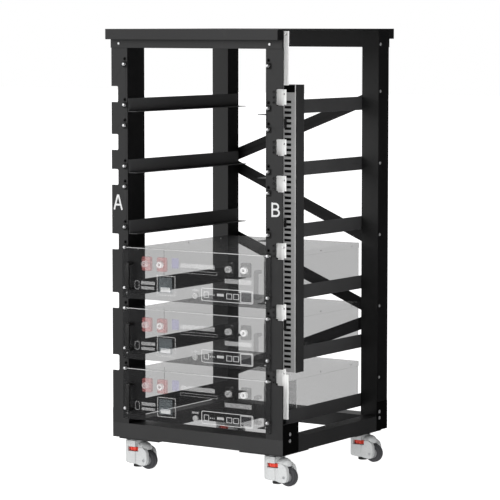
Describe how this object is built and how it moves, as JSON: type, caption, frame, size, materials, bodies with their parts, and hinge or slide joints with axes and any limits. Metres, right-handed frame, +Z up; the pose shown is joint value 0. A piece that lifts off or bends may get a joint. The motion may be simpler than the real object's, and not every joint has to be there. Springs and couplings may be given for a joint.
{
  "type": "battery rack",
  "caption": "Open-frame battery rack on levelling casters, with slots for sliding battery modules, shelf rails, a comb busbar and a slotted wiring duct.",
  "frame": {"origin": "on the floor, below the centre of the frame", "axes": "+Z up, -Y towards the open front of the rack, +X to the right seen from the front"},
  "size_m": [0.5715, 0.59, 1.205],
  "materials": {
    "frame_black": "satin powder coat",
    "rail_black": "satin powder coat",
    "zinc": "zinc-plated steel",
    "screw_zinc": "zinc-plated screw heads",
    "tinned_copper": "tin-plated copper",
    "insulator_black": "moulded",
    "duct_grey": "extruded plastic",
    "duct_cover": "extruded plastic",
    "caster_white": "die-cast, pale enamel",
    "caster_tyre": "moulded nylon and rubber",
    "dial_red": "moulded",
    "foot_rubber": "moulded",
    "module_shell": "satin powder coat",
    "module_grip": "satin",
    "terminal_red": "moulded",
    "cell_blue": "wrapped aluminium",
    "board_green": "circuit board",
    "breaker_grey": "moulded",
    "button_metal": "brushed"
  },
  "bodies": {
    "rack": {"base_frame": "frame_black", "front_posts": "frame_black", "rear_posts": "frame_black", "top_cover": "frame_black", "top_rails": "frame_black", "shelf_rails": "rail_black", "back_braces": "frame_black", "swivel_plates": "zinc", "fasteners": "screw_zinc", "busbar": "tinned_copper", "busbar_insulators": "insulator_black", "duct_body": "duct_grey", "duct_cover": "duct_cover"},
    "caster_fl_swivel": {"caster_fl_housing": "caster_white", "caster_fl_axle": "zinc"},
    "caster_fl_roller": {"caster_fl_wheel": "caster_tyre"},
    "caster_fl_thumbwheel": {"caster_fl_dial": "dial_red"},
    "caster_fl_leveller": {"caster_fl_foot": "foot_rubber"},
    "caster_fr_swivel": {"caster_fr_housing": "caster_white", "caster_fr_axle": "zinc"},
    "caster_fr_roller": {"caster_fr_wheel": "caster_tyre"},
    "caster_fr_thumbwheel": {"caster_fr_dial": "dial_red"},
    "caster_fr_leveller": {"caster_fr_foot": "foot_rubber"},
    "caster_rl_swivel": {"caster_rl_housing": "caster_white", "caster_rl_axle": "zinc"},
    "caster_rl_roller": {"caster_rl_wheel": "caster_tyre"},
    "caster_rl_thumbwheel": {"caster_rl_dial": "dial_red"},
    "caster_rl_leveller": {"caster_rl_foot": "foot_rubber"},
    "caster_rr_swivel": {"caster_rr_housing": "caster_white", "caster_rr_axle": "zinc"},
    "caster_rr_roller": {"caster_rr_wheel": "caster_tyre"},
    "caster_rr_thumbwheel": {"caster_rr_dial": "dial_red"},
    "caster_rr_leveller": {"caster_rr_foot": "foot_rubber"},
    "module_1": {"module_1_chassis": "module_shell", "module_1_lid": "module_shell", "module_1_panel": "module_shell", "module_1_handles": "module_grip", "module_1_terminals": "terminal_red", "module_1_cells": "cell_blue", "module_1_electronics": "board_green"},
    "module_1_lever": {"module_1_breaker_lever": "breaker_grey"},
    "module_1_button": {"module_1_power_button": "button_metal"},
    "module_2": {"module_2_chassis": "module_shell", "module_2_lid": "module_shell", "module_2_panel": "module_shell", "module_2_handles": "module_grip", "module_2_terminals": "terminal_red", "module_2_cells": "cell_blue", "module_2_electronics": "board_green"},
    "module_2_lever": {"module_2_breaker_lever": "breaker_grey"},
    "module_2_button": {"module_2_power_button": "button_metal"},
    "module_3": {"module_3_chassis": "module_shell", "module_3_lid": "module_shell", "module_3_panel": "module_shell", "module_3_handles": "module_grip", "module_3_terminals": "terminal_red", "module_3_cells": "cell_blue", "module_3_electronics": "board_green"},
    "module_3_lever": {"module_3_breaker_lever": "breaker_grey"},
    "module_3_button": {"module_3_power_button": "button_metal"}
  },
  "joints": [
    {"name": "caster_fl_swivel_turn", "type": "hinge", "parent": "rack", "child": "caster_fl_swivel", "pos_m": [-0.229, -0.219, 0.07], "axis": [0, 0, 1], "continuous": true},
    {"name": "caster_fl_wheel_spin", "type": "hinge", "parent": "caster_fl_swivel", "child": "caster_fl_roller", "pos_m": [-0.193, -0.219, 0.026], "axis": [0, 1, 0], "continuous": true},
    {"name": "caster_fl_dial_turn", "type": "hinge", "parent": "caster_fl_swivel", "child": "caster_fl_thumbwheel", "pos_m": [-0.229, -0.219, 0.056], "axis": [0, 0, 1], "range_deg": [0, 1440]},
    {"name": "caster_fl_foot_drop", "type": "slide", "parent": "caster_fl_swivel", "child": "caster_fl_leveller", "axis": [0, 0, -1], "range_m": [0, 0.0081]},
    {"name": "caster_fr_swivel_turn", "type": "hinge", "parent": "rack", "child": "caster_fr_swivel", "pos_m": [0.229, -0.219, 0.07], "axis": [0, 0, 1], "continuous": true},
    {"name": "caster_fr_wheel_spin", "type": "hinge", "parent": "caster_fr_swivel", "child": "caster_fr_roller", "pos_m": [0.265, -0.219, 0.026], "axis": [0, 1, 0], "continuous": true},
    {"name": "caster_fr_dial_turn", "type": "hinge", "parent": "caster_fr_swivel", "child": "caster_fr_thumbwheel", "pos_m": [0.229, -0.219, 0.056], "axis": [0, 0, 1], "range_deg": [0, 1440]},
    {"name": "caster_fr_foot_drop", "type": "slide", "parent": "caster_fr_swivel", "child": "caster_fr_leveller", "axis": [0, 0, -1], "range_m": [0, 0.0081]},
    {"name": "caster_rl_swivel_turn", "type": "hinge", "parent": "rack", "child": "caster_rl_swivel", "pos_m": [-0.229, 0.219, 0.07], "axis": [0, 0, 1], "continuous": true},
    {"name": "caster_rl_wheel_spin", "type": "hinge", "parent": "caster_rl_swivel", "child": "caster_rl_roller", "pos_m": [-0.193, 0.219, 0.026], "axis": [0, 1, 0], "continuous": true},
    {"name": "caster_rl_dial_turn", "type": "hinge", "parent": "caster_rl_swivel", "child": "caster_rl_thumbwheel", "pos_m": [-0.229, 0.219, 0.056], "axis": [0, 0, 1], "range_deg": [0, 1440]},
    {"name": "caster_rl_foot_drop", "type": "slide", "parent": "caster_rl_swivel", "child": "caster_rl_leveller", "axis": [0, 0, -1], "range_m": [0, 0.0081]},
    {"name": "caster_rr_swivel_turn", "type": "hinge", "parent": "rack", "child": "caster_rr_swivel", "pos_m": [0.229, 0.219, 0.07], "axis": [0, 0, 1], "continuous": true},
    {"name": "caster_rr_wheel_spin", "type": "hinge", "parent": "caster_rr_swivel", "child": "caster_rr_roller", "pos_m": [0.265, 0.219, 0.026], "axis": [0, 1, 0], "continuous": true},
    {"name": "caster_rr_dial_turn", "type": "hinge", "parent": "caster_rr_swivel", "child": "caster_rr_thumbwheel", "pos_m": [0.229, 0.219, 0.056], "axis": [0, 0, 1], "range_deg": [0, 1440]},
    {"name": "caster_rr_foot_drop", "type": "slide", "parent": "caster_rr_swivel", "child": "caster_rr_leveller", "axis": [0, 0, -1], "range_m": [0, 0.0081]},
    {"name": "module_1_slide", "type": "slide", "parent": "rack", "child": "module_1", "axis": [0, -1, 0], "range_m": [0, 0.4]},
    {"name": "module_1_breaker_throw", "type": "hinge", "parent": "module_1", "child": "module_1_lever", "pos_m": [-0.097, -0.2638, 0.19], "axis": [-1, 0, 0], "range_deg": [0, 56]},
    {"name": "module_1_button_press", "type": "slide", "parent": "module_1", "child": "module_1_button", "axis": [0, 1, 0], "range_m": [0, 0.0025], "stiffness_N_per_m": 400, "springref_m": -0.002},
    {"name": "module_2_slide", "type": "slide", "parent": "rack", "child": "module_2", "axis": [0, -1, 0], "range_m": [0, 0.4]},
    {"name": "module_2_breaker_throw", "type": "hinge", "parent": "module_2", "child": "module_2_lever", "pos_m": [-0.097, -0.2638, 0.3555], "axis": [-1, 0, 0], "range_deg": [0, 56]},
    {"name": "module_2_button_press", "type": "slide", "parent": "module_2", "child": "module_2_button", "axis": [0, 1, 0], "range_m": [0, 0.0025], "stiffness_N_per_m": 400, "springref_m": -0.002},
    {"name": "module_3_slide", "type": "slide", "parent": "rack", "child": "module_3", "axis": [0, -1, 0], "range_m": [0, 0.4]},
    {"name": "module_3_breaker_throw", "type": "hinge", "parent": "module_3", "child": "module_3_lever", "pos_m": [-0.097, -0.2638, 0.521], "axis": [-1, 0, 0], "range_deg": [0, 56]},
    {"name": "module_3_button_press", "type": "slide", "parent": "module_3", "child": "module_3_button", "axis": [0, 1, 0], "range_m": [0, 0.0025], "stiffness_N_per_m": 400, "springref_m": -0.002}
  ],
  "couplings": [
    {"joint": "caster_fl_foot_drop", "follows": "caster_fl_dial_turn", "m_per_rad": 0.00031831},
    {"joint": "caster_fr_foot_drop", "follows": "caster_fr_dial_turn", "m_per_rad": 0.00031831},
    {"joint": "caster_rl_foot_drop", "follows": "caster_rl_dial_turn", "m_per_rad": 0.00031831},
    {"joint": "caster_rr_foot_drop", "follows": "caster_rr_dial_turn", "m_per_rad": 0.00031831}
  ]
}
